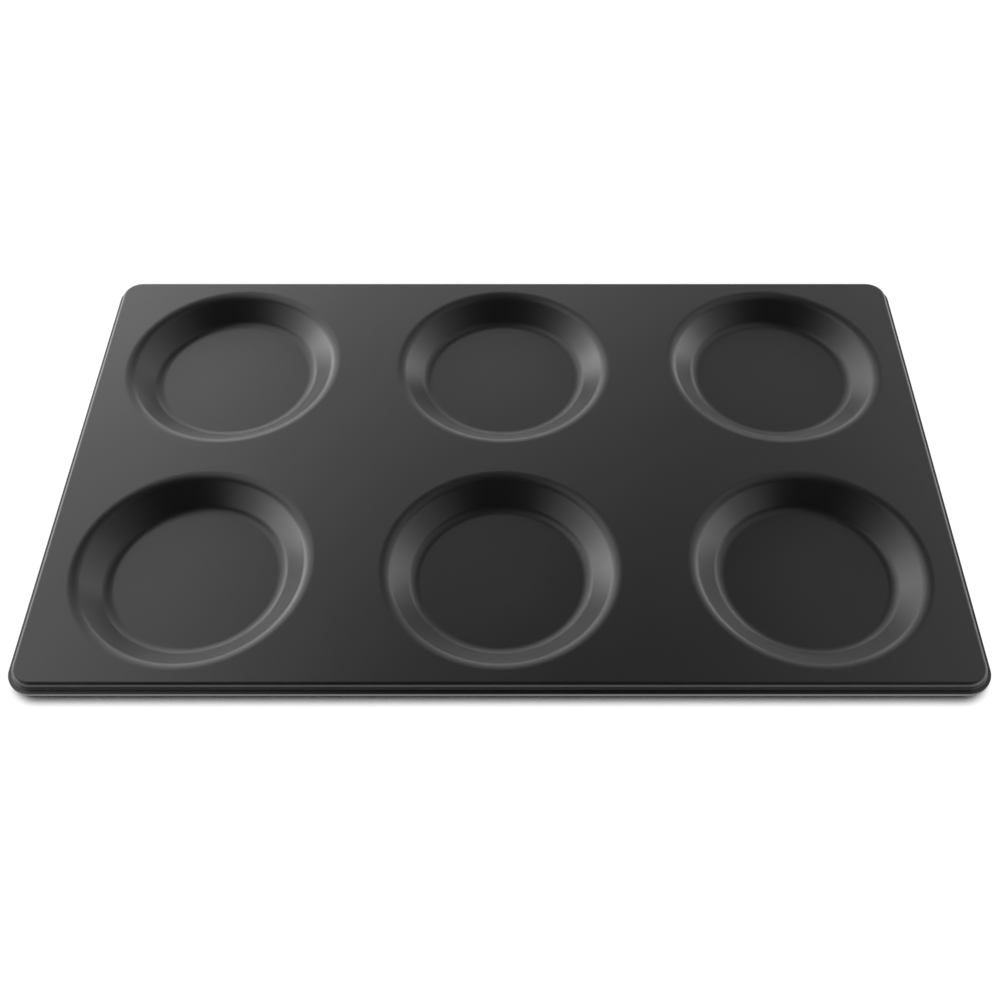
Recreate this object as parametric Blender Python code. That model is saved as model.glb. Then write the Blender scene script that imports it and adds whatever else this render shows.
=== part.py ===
# Egg baking tray, gastronorm 1/1: one flat metal pressing with six round wells in
# two rows of three and a stepped rim, under a black non-stick coating.
#
# Metres, +Z up. The tray stands on the undersides of its six wells at z = 0, with
# its length along X, its width along Y and its middle over the origin. Both bodies
# follow the cooking face at a depth under it, and a Solidify modifier thickens them.

import math

import bmesh
import bpy

for old in list(bpy.data.objects):
    bpy.data.objects.remove(old, do_unlink=True)

# Outline, gastronorm 1/1
tray_length = 0.530
tray_width = 0.325
deck_corner_radius = 0.0100

# Build-up through the thickness, from the cooking face down
coating_thickness = 0.0002
coating_gap = 0.0003
sheet_thickness = 0.0015

# Wells: two rows of three, round, with a sloped wall between two soft bends. They
# are as wide as the deck's width leaves room for
wells_along = 3
wells_across = 2
side_margin = 0.0063
end_margin = 0.0133
well_gap_across = 0.0216
well_wall_run = 0.0234
well_depth = 0.0142
mouth_bend_radius = 0.0105
floor_bend_radius = 0.0098

# Rim: the deck turns down, then out again into a narrow flat flange
rim_reach = 0.0050
rim_drop = 0.0050
rim_inside_bend_radius = 0.0002
flange_bend_radius = 0.0011
edge_rounding = 0.0003

# Facets
well_facets = 40
well_bend_facets = 3
corner_facets = 6
rim_bend_facets = 5
flange_bend_facets = 3
edge_facets = 2

bonded_thickness = coating_thickness + coating_gap + sheet_thickness
sheet_depth = coating_thickness + coating_gap
deck_level = well_depth + bonded_thickness
flange_level = deck_level - rim_drop
foot_level = flange_level - bonded_thickness
rim_bend_radius = rim_inside_bend_radius + bonded_thickness

deck_length = tray_length - 2 * rim_reach
deck_width = tray_width - 2 * rim_reach
row_room = deck_width - 2 * side_margin - (wells_across - 1) * well_gap_across
well_mouth_radius = row_room / wells_across / 2
well_floor_radius = well_mouth_radius - well_wall_run
gap_room = deck_length - 2 * end_margin - 2 * wells_along * well_mouth_radius
well_gap_along = gap_room / (wells_along - 1)
well_pitch_along = 2 * well_mouth_radius + well_gap_along
well_pitch_across = 2 * well_mouth_radius + well_gap_across


def arc(centre, radius, start, end, steps):
    """Points of a section's bend; angles are from straight up, turning outward."""
    points = []
    for step in range(steps + 1):
        angle = start + (end - start) * step / steps
        across = centre[0] + radius * math.sin(angle)
        up = centre[1] + radius * math.cos(angle)
        points.append((across, up))
    return points


def wall_slope():
    """Slope of the well's wall that meets both of its bends without a crease."""
    both = mouth_bend_radius + floor_bend_radius
    reach = math.hypot(well_wall_run, both - well_depth)
    return math.atan2(well_wall_run, both - well_depth) - math.acos(min(1.0, both / reach))


def well_section(depth):
    """Well's section from its mouth inward, as (radius, height) points."""
    slope = wall_slope()
    mouth_centre = (well_mouth_radius, deck_level - mouth_bend_radius)
    floor_centre = (well_floor_radius, deck_level - well_depth + floor_bend_radius)
    mouth = arc(mouth_centre, mouth_bend_radius - depth, 0.0, -slope, well_bend_facets)
    floor = arc(floor_centre, floor_bend_radius + depth, math.pi - slope, math.pi, well_bend_facets)
    return mouth + floor


def rim_section(depth, edge):
    """Rim's section from its edge inward, as (distance out from the deck, height)."""
    flange_start = rim_bend_radius + flange_bend_radius
    flange_centre = (flange_start, flange_level + flange_bend_radius)
    bend_centre = (0.0, deck_level - rim_bend_radius)
    foot = arc(
        flange_centre,
        flange_bend_radius + depth,
        math.pi,
        1.5 * math.pi,
        flange_bend_facets,
    )
    bend = arc(bend_centre, rim_bend_radius - depth, math.pi / 2, 0.0, rim_bend_facets)
    return edge + foot + bend


def add_outline(mesh, out, height):
    """Rounded rectangle at a distance out from the deck's flat, as one face."""
    corners = bmesh.ops.create_grid(mesh, x_segments=1, y_segments=1, size=0.5)["verts"]
    growth = 2 * (out - rim_reach)
    bmesh.ops.scale(mesh, vec=(tray_length + growth, tray_width + growth, 1.0), verts=corners)
    bmesh.ops.translate(mesh, vec=(0.0, 0.0, height), verts=corners)
    rounded = bmesh.ops.bevel(
        mesh,
        geom=corners,
        offset=deck_corner_radius + out,
        affect="VERTICES",
        segments=corner_facets,
        profile=0.5,
        material=-1,
    )
    return rounded["verts"][0].link_faces[0]


def add_rim(mesh, section):
    """Edge, flange and step, each ring inset from the one outside it."""
    face = add_outline(mesh, *section[0])
    for outer, inner in zip(section, section[1:]):
        bmesh.ops.inset_region(
            mesh,
            faces=[face],
            thickness=outer[0] - inner[0],
            depth=inner[1] - outer[1],
            use_boundary=True,
            use_even_offset=True,
        )
    bmesh.ops.delete(mesh, geom=[face], context="FACES_ONLY")


def add_well(mesh, centre, depth):
    """Wall of one well, spun from its section."""
    profile = []
    for radius, height in well_section(depth):
        profile.append(mesh.verts.new((centre[0] + radius, centre[1], height)))
    lines = [mesh.edges.new(pair) for pair in zip(profile, profile[1:])]
    bmesh.ops.spin(
        mesh,
        geom=profile + lines,
        cent=(centre[0], centre[1], 0.0),
        axis=(0.0, 0.0, 1.0),
        angle=2 * math.pi,
        steps=well_facets,
        use_merge=True,
    )


def open_edges(mesh, height):
    """Open edges that lie at a height."""
    found = []
    for edge in mesh.edges:
        if edge.is_boundary and all(abs(v.co.z - height) < 1e-6 for v in edge.verts):
            found.append(edge)
    return found


def add_body(name, depth, edge, thickness, material):
    """Cooking face at a depth under it, out to an edge, thickened downward."""
    mesh = bmesh.new()
    add_rim(mesh, rim_section(depth, edge))
    for row in range(wells_across):
        for place in range(wells_along):
            x = (place - (wells_along - 1) / 2) * well_pitch_along
            y = (row - (wells_across - 1) / 2) * well_pitch_across
            add_well(mesh, (x, y), depth)
    floors = open_edges(mesh, deck_level - well_depth - depth)
    bmesh.ops.edgeloop_fill(mesh, edges=floors)
    deck = open_edges(mesh, deck_level - depth)
    bmesh.ops.triangle_fill(mesh, edges=deck, use_beauty=True, use_dissolve=False)
    bmesh.ops.recalc_face_normals(mesh, faces=mesh.faces[:])
    largest = max(mesh.faces, key=lambda face: face.calc_area())
    if largest.normal.z < 0:
        bmesh.ops.reverse_faces(mesh, faces=mesh.faces[:])
    for face in mesh.faces:
        face.smooth = len(face.verts) == 4
    data = bpy.data.meshes.new(name)
    mesh.to_mesh(data)
    mesh.free()
    data.set_sharp_from_angle(angle=math.radians(35))
    data.materials.append(material)
    body = bpy.data.objects.new(name, data)
    bpy.context.scene.collection.objects.link(body)
    wall = body.modifiers.new("thickness", "SOLIDIFY")
    wall.thickness = thickness
    wall.offset = -1.0
    wall.use_even_offset = True
    return body


def finish(name, colour, metallic, roughness):
    """Plain surface finish."""
    material = bpy.data.materials.new(name)
    material.use_nodes = True
    shader = material.node_tree.nodes["Principled BSDF"]
    shader.inputs["Base Color"].default_value = colour
    shader.inputs["Metallic"].default_value = metallic
    shader.inputs["Roughness"].default_value = roughness
    material.diffuse_color = colour
    return material


anodised_metal = finish("hard_anodised_aluminium", (0.045, 0.045, 0.048, 1.0), 0.8, 0.5)
nonstick = finish("black_nonstick", (0.012, 0.012, 0.013, 1.0), 0.0, 0.4)

# The metal pressing ends at a square cut, one coating and one gap short of the outline
sheet_edge = [(rim_reach - sheet_depth, flange_level - sheet_depth)]
add_body("pressed_sheet", sheet_depth, sheet_edge, sheet_thickness, anodised_metal)

# The coating goes over the flange's edge and down the cut
edge_centre = (rim_reach - edge_rounding, flange_level - edge_rounding)
coating_edge = [(rim_reach, foot_level)]
coating_edge += arc(edge_centre, edge_rounding, math.pi / 2, 0.0, edge_facets)
add_body("nonstick_coating", 0.0, coating_edge, coating_thickness, nonstick)
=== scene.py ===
# Egg baking tray: the pressed sheet and its black non-stick coating, with the
# studio that they are photographed in. Metres, +Z up, the wells' undersides at z = 0.

import math

import bmesh
import bpy
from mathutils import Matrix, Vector


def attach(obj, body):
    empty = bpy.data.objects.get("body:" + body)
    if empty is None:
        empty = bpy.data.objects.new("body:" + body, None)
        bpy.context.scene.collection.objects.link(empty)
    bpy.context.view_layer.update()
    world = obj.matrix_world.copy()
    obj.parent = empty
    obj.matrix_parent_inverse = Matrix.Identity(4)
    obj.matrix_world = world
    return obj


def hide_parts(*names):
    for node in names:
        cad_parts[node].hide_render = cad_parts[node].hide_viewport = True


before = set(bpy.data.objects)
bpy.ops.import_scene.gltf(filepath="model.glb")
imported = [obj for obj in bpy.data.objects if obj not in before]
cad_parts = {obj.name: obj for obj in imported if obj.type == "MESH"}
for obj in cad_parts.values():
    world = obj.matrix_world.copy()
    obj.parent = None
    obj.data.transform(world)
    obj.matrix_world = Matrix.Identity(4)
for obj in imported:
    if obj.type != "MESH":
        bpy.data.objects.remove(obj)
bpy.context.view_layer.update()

# Outline, gastronorm 1/1
tray_length = 0.530
tray_width = 0.325
deck_corner_radius = 0.0100

# Build-up through the thickness, from the cooking face down
coating_thickness = 0.0002
coating_gap = 0.0003
sheet_thickness = 0.0015
whole_thickness = coating_thickness + coating_gap + sheet_thickness

# Wells
wells_along = 3
wells_across = 2
side_margin = 0.0063
end_margin = 0.0133
well_gap_across = 0.0216
well_wall_run = 0.0234
well_depth = 0.0142
mouth_bend_radius = 0.0105
floor_bend_radius = 0.0098

# Rim
rim_reach = 0.0050
rim_drop = 0.0050
rim_inside_bend_radius = 0.0002
flange_bend_radius = 0.0011
edge_rounding = 0.0003

deck_level = well_depth + whole_thickness
flange_level = deck_level - rim_drop
foot_level = flange_level - whole_thickness
rim_bend_radius = rim_inside_bend_radius + whole_thickness

deck_length = tray_length - 2 * rim_reach
deck_width = tray_width - 2 * rim_reach
row_room = deck_width - 2 * side_margin - (wells_across - 1) * well_gap_across
well_mouth_radius = row_room / wells_across / 2
well_floor_radius = well_mouth_radius - well_wall_run
gap_room = deck_length - 2 * end_margin - 2 * wells_along * well_mouth_radius
well_pitch_along = 2 * well_mouth_radius + gap_room / (wells_along - 1)
well_pitch_across = 2 * well_mouth_radius + well_gap_across


# Finishes: sizes of their grain and clouding, and the depth of their relief
film_grain = 0.0009
film_fine_grain = 0.0004
film_clouding = 0.045
film_relief = 0.00006
metal_streak = 0.0009
metal_clouding = 0.06
metal_relief = 0.00004

# Making of the pieces: closeness of film and metal, creases that stay sharp, same level
film_to_metal = 0.00002
sharp_from = math.radians(50)
same_level = 1e-6

# Facets of a piece: round a well, across a well's bend, across the rim's, round a corner
film_facets = {"well": 144, "bend": 18, "rim": 12, "corner": 20}
metal_facets = {"well": 144, "bend": 12, "rim": 8, "corner": 16}
edge_facets = 5

# Camera: lens in millimetres, place over the deck, and how far it looks down
camera_lens = 44.113
camera_sensor = 36.0
camera_shift = -0.02106
camera_place = Vector((0.01155, -0.49089, deck_level + 0.56767))
camera_pitch = math.radians(51.169)

# Studio: soft boxes as (name, azimuth, elevation, width, height, level)
floor_reach = 4.0
softbox_distance = 1.8
dim_surroundings = 0.03
softboxes = [
    ("low left front", -98, 6, 1.3, 0.9, 3.17),
    ("low left back", -58, 6, 1.3, 0.9, 4.39),
    ("low back", -12, 6, 1.6, 0.9, 1.50),
    ("low right back", 48, 6, 0.9, 0.9, 2.24),
    ("low right front", 82, 6, 1.4, 0.9, 2.09),
    ("low right rear", 125, 6, 1.3, 0.9, 1.31),
    ("left", -76, 24, 1.0, 0.9, 1.28),
    ("right", 60, 24, 1.6, 0.9, 0.70),
    ("back left high", -52, 42, 1.3, 0.9, 1.14),
    ("back left", -36, 24, 1.5, 0.9, 1.65),
    ("back high", -12, 42, 1.1, 0.9, 0.73),
    ("back", 12, 26, 1.1, 0.9, 0.72),
    ("right high", 58, 42, 1.4, 0.9, 0.60),
    ("left top", -70, 60, 1.0, 0.9, 1.26),
    ("left rear", -115, 24, 1.4, 0.9, 1.26),
    ("right rear", 112, 24, 1.4, 0.9, 0.74),
    ("right top", 80, 62, 1.2, 0.9, 0.54),
]


class Socket:
    """A shader socket that Python's operators work on."""

    def __init__(self, tree, link):
        self.tree = tree
        self.link = link

    def math(self, operation, first, second):
        settings = {"operation": operation}
        return add_node(self.tree, "ShaderNodeMath", settings, {0: first, 1: second})

    def __add__(self, other):
        return self.math("ADD", self, other)

    def __radd__(self, other):
        return self.math("ADD", other, self)

    def __sub__(self, other):
        return self.math("SUBTRACT", self, other)

    def __rsub__(self, other):
        return self.math("SUBTRACT", other, self)

    def __mul__(self, other):
        return self.math("MULTIPLY", self, other)

    def __rmul__(self, other):
        return self.math("MULTIPLY", other, self)

    def larger(self, other):
        return self.math("MAXIMUM", self, other)


def add_node(tree, kind, settings=None, values=None, output=0):
    """A node of a kind, its settings first, then its sockets' values or links."""
    node = tree.nodes.new(kind)
    for name, value in (settings or {}).items():
        setattr(node, name, value)
    for name, value in (values or {}).items():
        if isinstance(value, Socket):
            tree.links.new(value.link, node.inputs[name])
        else:
            node.inputs[name].default_value = value
    return Socket(tree, node.outputs[output]) if node.outputs else None


def new_material(name):
    """An empty material and its tree."""
    material = bpy.data.materials.new(name)
    material.use_nodes = True
    material.node_tree.nodes.clear()
    return material, material.node_tree


def noise(tree, place, size, detail):
    """Noise with features of about that size, in metres."""
    values = {"Vector": place, "Scale": 1.0 / size, "Detail": detail}
    return add_node(tree, "ShaderNodeTexNoise", None, values)


def nonstick_material():
    """Black non-stick film: a satin face with the fine grain of the sprayed coat."""
    material, tree = new_material("black non-stick coating")
    place = add_node(tree, "ShaderNodeTexCoord", output="Object")
    grain = noise(tree, place, film_grain, detail=2.0)
    fine_grain = noise(tree, place, film_fine_grain, detail=1.0)
    cloud = noise(tree, place, film_clouding, detail=3.0)
    relief = grain * 0.7 + fine_grain * 0.3
    bump = add_node(
        tree,
        "ShaderNodeBump",
        None,
        {"Strength": 0.6, "Distance": film_relief, "Height": relief},
    )
    shade = cloud * 0.0012 + grain * 0.0008 + 0.0012
    colour = add_node(tree, "ShaderNodeCombineColor", None, {0: shade, 1: shade, 2: shade * 1.04})
    gloss = cloud * 0.05 + grain * 0.04 + 0.295
    film = add_node(
        tree,
        "ShaderNodeBsdfPrincipled",
        None,
        {
            "Base Color": colour,
            "Roughness": gloss,
            "IOR": 1.5,
            "Sheen Weight": 0.13,
            "Sheen Roughness": 0.5,
            "Normal": bump,
        },
    )
    add_node(tree, "ShaderNodeOutputMaterial", None, {"Surface": film})
    return material


def anodised_material():
    """Dark hard-anodised aluminium, with the faint streaks of the rolled sheet."""
    material, tree = new_material("hard-anodised aluminium")
    place = add_node(tree, "ShaderNodeTexCoord", output="Object")
    stretched = add_node(
        tree,
        "ShaderNodeMapping",
        None,
        {"Vector": place, "Scale": (0.04, 1.0, 1.0)},
    )
    streaks = noise(tree, stretched, metal_streak, detail=3.0)
    cloud = noise(tree, place, metal_clouding, detail=3.0)
    bump = add_node(
        tree,
        "ShaderNodeBump",
        None,
        {"Strength": 0.2, "Distance": metal_relief, "Height": streaks},
    )
    shade = cloud * 0.012 + streaks * 0.014 + 0.03
    colour = add_node(tree, "ShaderNodeCombineColor", None, {0: shade, 1: shade, 2: shade * 1.05})
    metal = add_node(
        tree,
        "ShaderNodeBsdfPrincipled",
        None,
        {
            "Base Color": colour,
            "Metallic": 0.8,
            "Roughness": streaks * 0.08 + cloud * 0.06 + 0.42,
            "Normal": bump,
        },
    )
    add_node(tree, "ShaderNodeOutputMaterial", None, {"Surface": metal})
    return material


def arc(centre, radius, start, end, steps):
    """Points of a section's bend; angles are from straight up, turning outward."""
    points = []
    for step in range(steps + 1):
        angle = start + (end - start) * step / steps
        across = centre[0] + radius * math.sin(angle)
        up = centre[1] + radius * math.cos(angle)
        points.append((across, up))
    return points


def well_section(depth, bend_facets):
    """Well's section from its mouth inward, as (radius, height) points."""
    both = mouth_bend_radius + floor_bend_radius
    reach = math.hypot(well_wall_run, both - well_depth)
    slope = math.atan2(well_wall_run, both - well_depth) - math.acos(both / reach)
    mouth_centre = (well_mouth_radius, deck_level - mouth_bend_radius)
    floor_centre = (well_floor_radius, deck_level - well_depth + floor_bend_radius)
    mouth = arc(mouth_centre, mouth_bend_radius - depth, 0.0, -slope, bend_facets)
    floor = arc(floor_centre, floor_bend_radius + depth, math.pi - slope, math.pi, bend_facets)
    return mouth + floor


def rim_section(depth, edge, bend_facets):
    """Rim's section from its edge inward, as (distance out from the deck, height)."""
    flange_start = rim_bend_radius + flange_bend_radius
    flange_centre = (flange_start, flange_level + flange_bend_radius)
    bend_centre = (0.0, deck_level - rim_bend_radius)
    foot_radius = flange_bend_radius + depth
    foot = arc(flange_centre, foot_radius, math.pi, 1.5 * math.pi, bend_facets // 2)
    bend = arc(bend_centre, rim_bend_radius - depth, math.pi / 2, 0.0, bend_facets)
    return edge + foot + bend


def add_outline(mesh, out, height, corner_facets):
    """Rounded rectangle at a distance out from the deck's flat, as one face."""
    corners = bmesh.ops.create_grid(mesh, x_segments=1, y_segments=1, size=0.5)["verts"]
    growth = 2 * (out - rim_reach)
    bmesh.ops.scale(mesh, vec=(tray_length + growth, tray_width + growth, 1.0), verts=corners)
    bmesh.ops.translate(mesh, vec=(0.0, 0.0, height), verts=corners)
    rounded = bmesh.ops.bevel(
        mesh,
        geom=corners,
        offset=deck_corner_radius + out,
        affect="VERTICES",
        segments=corner_facets,
        profile=0.5,
        material=-1,
    )
    return rounded["verts"][0].link_faces[0]


def add_rim(mesh, section, corner_facets):
    """Edge, flange and step, each ring inset from the one outside it."""
    face = add_outline(mesh, *section[0], corner_facets)
    for outer, inner in zip(section, section[1:]):
        bmesh.ops.inset_region(
            mesh,
            faces=[face],
            thickness=outer[0] - inner[0],
            depth=inner[1] - outer[1],
            use_boundary=True,
            use_even_offset=True,
        )
    bmesh.ops.delete(mesh, geom=[face], context="FACES_ONLY")


def add_wells(mesh, section, facets):
    """Walls of the wells: one spun from its section at the middle, then copied out."""
    profile = [mesh.verts.new((radius, 0.0, height)) for radius, height in section]
    lines = [mesh.edges.new(pair) for pair in zip(profile, profile[1:])]
    bmesh.ops.spin(
        mesh,
        geom=profile + lines,
        cent=(0.0, 0.0, 0.0),
        axis=(0.0, 0.0, 1.0),
        angle=2 * math.pi,
        steps=facets,
        use_merge=True,
    )
    pattern = mesh.verts[:] + mesh.edges[:] + mesh.faces[:]
    for row in range(wells_across):
        for place in range(wells_along):
            x = (place - (wells_along - 1) / 2) * well_pitch_along
            y = (row - (wells_across - 1) / 2) * well_pitch_across
            copied = bmesh.ops.duplicate(mesh, geom=pattern)["geom"]
            points = [item for item in copied if isinstance(item, bmesh.types.BMVert)]
            bmesh.ops.translate(mesh, vec=(x, y, 0.0), verts=points)
    bmesh.ops.delete(mesh, geom=pattern, context="VERTS")


def open_edges(mesh, height):
    """Open edges that lie at a height."""
    found = []
    for edge in mesh.edges:
        if edge.is_boundary and all(abs(v.co.z - height) < same_level for v in edge.verts):
            found.append(edge)
    return found


def add_tray_layer(name, depth, edge, thickness, material, facets):
    """Cooking face at a depth under it, out to an edge, thickened downward."""
    mesh = bmesh.new()
    add_wells(mesh, well_section(depth, facets["bend"]), facets["well"])
    add_rim(mesh, rim_section(depth, edge, facets["rim"]), facets["corner"])
    floors = open_edges(mesh, deck_level - well_depth - depth)
    bmesh.ops.edgeloop_fill(mesh, edges=floors)
    deck = open_edges(mesh, deck_level - depth)
    bmesh.ops.triangle_fill(mesh, edges=deck, use_beauty=True, use_dissolve=False)
    bmesh.ops.recalc_face_normals(mesh, faces=mesh.faces[:])
    largest = max(mesh.faces, key=lambda face: face.calc_area())
    if largest.normal.z < 0:
        bmesh.ops.reverse_faces(mesh, faces=mesh.faces[:])
    for face in mesh.faces:
        face.smooth = True
    data = bpy.data.meshes.new(name)
    mesh.to_mesh(data)
    mesh.free()
    data.set_sharp_from_angle(angle=sharp_from)
    data.materials.append(material)
    layer = bpy.data.objects.new(name, data)
    bpy.context.scene.collection.objects.link(layer)
    wall = layer.modifiers.new("thickness", "SOLIDIFY")
    wall.thickness = thickness
    wall.offset = -1.0
    wall.use_even_offset = True
    shading = layer.modifiers.new("flat deck", "WEIGHTED_NORMAL")
    shading.mode = "FACE_AREA"
    shading.weight = 80
    shading.keep_sharp = True
    return layer


# The film on the cooking face, over the flange's edge and down the cut
edge_centre = (rim_reach - edge_rounding, flange_level - edge_rounding)
coating_edge = [(rim_reach, foot_level)]
coating_edge += arc(edge_centre, edge_rounding, math.pi / 2, 0.0, edge_facets)
coating = add_tray_layer(
    "nonstick_film",
    0.0,
    coating_edge,
    coating_thickness,
    nonstick_material(),
    film_facets,
)
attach(coating, "root")
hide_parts("nonstick_coating")

# The metal behind it, close up to the film, down to the tray's underside
sheet_top = coating_thickness + film_to_metal
sheet = add_tray_layer(
    "pressed_metal_sheet",
    sheet_top,
    [(rim_reach - sheet_top, flange_level - sheet_top)],
    whole_thickness - sheet_top,
    anodised_material(),
    metal_facets,
)
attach(sheet, "root")
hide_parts("pressed_sheet")


def ray_kinds(tree):
    """Factors of 1 for what the camera sees itself, and for what gloss or glass shows."""
    kinds = tree.nodes.new("ShaderNodeLightPath")
    seen = Socket(tree, kinds.outputs["Is Camera Ray"])
    glossy = Socket(tree, kinds.outputs["Is Glossy Ray"])
    passed = Socket(tree, kinds.outputs["Is Transmission Ray"])
    return seen, glossy.larger(passed)


def floor_material():
    """Pale floor: white where it is looked at, with the tray's shadow on it."""
    material, tree = new_material("studio floor")
    seen, mirrored = ray_kinds(tree)
    plain = add_node(tree, "ShaderNodeBsdfDiffuse", None, {"Color": (0.8, 0.8, 0.8, 1.0)})
    white = add_node(tree, "ShaderNodeBsdfDiffuse", None, {"Color": (1.01, 1.01, 1.01, 1.0)})
    glow = add_node(tree, "ShaderNodeEmission", None, {"Color": (1.0, 1.0, 1.0, 1.0)})
    shown = add_node(tree, "ShaderNodeMixShader", None, {0: seen, 1: plain, 2: white})
    floor = add_node(tree, "ShaderNodeMixShader", None, {0: mirrored, 1: shown, 2: glow})
    add_node(tree, "ShaderNodeOutputMaterial", None, {"Surface": floor})
    return material


def add_floor():
    """Plain floor under the tray."""
    mesh = bmesh.new()
    bmesh.ops.create_grid(mesh, x_segments=1, y_segments=1, size=floor_reach)
    data = bpy.data.meshes.new("studio_floor")
    mesh.to_mesh(data)
    mesh.free()
    data.materials.append(floor_material())
    floor = bpy.data.objects.new("studio_floor", data)
    bpy.context.scene.collection.objects.link(floor)
    return floor


def light_only(lamps, lit):
    """Keep the lamps' light to the objects that they are meant for."""
    group = bpy.data.collections.new("lit by " + lamps[0].name)
    for item in lit:
        group.objects.link(item)
    for lamp in lamps:
        lamp.light_linking.receiver_collection = group


def toward(azimuth, elevation):
    """Direction from the tray; azimuth turns from the back toward the right."""
    turn = math.radians(azimuth)
    rise = math.radians(elevation)
    level = math.cos(rise)
    return Vector((math.sin(turn) * level, math.cos(turn) * level, math.sin(rise)))


def add_lamp(name, kind, azimuth, elevation):
    """Lamp that shines on the tray from a direction, itself unseen."""
    lamp = bpy.data.lights.new(name, kind)
    holder = bpy.data.objects.new(name, lamp)
    direction = toward(azimuth, elevation)
    holder.location = Vector((0.0, 0.0, deck_level)) + direction * softbox_distance
    holder.rotation_euler = direction.to_track_quat("Z", "Y").to_euler()
    holder.visible_camera = False
    bpy.context.scene.collection.objects.link(holder)
    return holder


def add_softbox(name, azimuth, elevation, width, height, level):
    """Soft box of a size, as bright as a surface of that level."""
    holder = add_lamp(name, "AREA", azimuth, elevation)
    holder.data.shape = "RECTANGLE"
    holder.data.size = width
    holder.data.size_y = height
    holder.data.energy = level * width * height * math.pi
    return holder


def add_bounce(name, length, near, far, level):
    """Reflector that lies in front of the tray and lights its rim from below."""
    lamp = bpy.data.lights.new(name, "AREA")
    lamp.shape = "RECTANGLE"
    lamp.size = length
    lamp.size_y = far - near
    lamp.energy = level * length * (far - near) * math.pi
    holder = bpy.data.objects.new(name, lamp)
    holder.location = (0.0, -(near + far) / 2, 0.001)
    holder.rotation_euler = (math.pi, 0.0, 0.0)
    holder.visible_camera = False
    bpy.context.scene.collection.objects.link(holder)
    return holder


def add_overhead(name, azimuth, elevation, spread):
    """Wide overhead light that gives a level surface its own colour."""
    holder = add_lamp(name, "SUN", azimuth, elevation)
    holder.data.angle = math.radians(spread)
    holder.data.energy = math.pi / math.sin(math.radians(elevation))
    return holder


def add_camera():
    """Camera in front of the tray, looking down on it."""
    lens = bpy.data.cameras.new("camera")
    lens.sensor_width = camera_sensor
    lens.lens = camera_lens
    lens.shift_x = camera_shift
    camera = bpy.data.objects.new("camera", lens)
    camera.location = camera_place
    camera.rotation_euler = (math.pi / 2 - camera_pitch, 0.0, 0.0)
    bpy.context.scene.collection.objects.link(camera)
    bpy.context.scene.camera = camera


def set_world():
    """White surroundings for the eye and near the horizon, dim ones elsewhere."""
    world = bpy.data.worlds.new("studio")
    world.use_nodes = True
    tree = world.node_tree
    tree.nodes.clear()
    seen, mirrored = ray_kinds(tree)
    direction = add_node(tree, "ShaderNodeTexCoord", output="Generated")
    height = add_node(tree, "ShaderNodeSeparateXYZ", None, {"Vector": direction}, output="Z")
    high = add_node(
        tree,
        "ShaderNodeMapRange",
        {"interpolation_type": "SMOOTHSTEP"},
        {"Value": height, "From Min": 0.1, "From Max": 0.35},
    )
    white = seen.larger(mirrored * (1.0 - high))
    level = white * (1.0 - dim_surroundings) + dim_surroundings
    background = add_node(
        tree,
        "ShaderNodeBackground",
        None,
        {"Color": (1.0, 1.0, 1.0, 1.0), "Strength": level},
    )
    add_node(tree, "ShaderNodeOutputWorld", None, {"Surface": background})
    bpy.context.scene.world = world


floor = add_floor()
light_only([add_softbox(*softbox) for softbox in softboxes], [coating, sheet])
bounce = add_bounce("front bounce", length=0.7, near=0.165, far=0.4, level=0.8)
light_only([bounce], [coating, sheet])
light_only([add_overhead("overhead", azimuth=180, elevation=82, spread=42)], [floor])
add_camera()
set_world()

bpy.context.scene.view_settings.view_transform = "Standard"
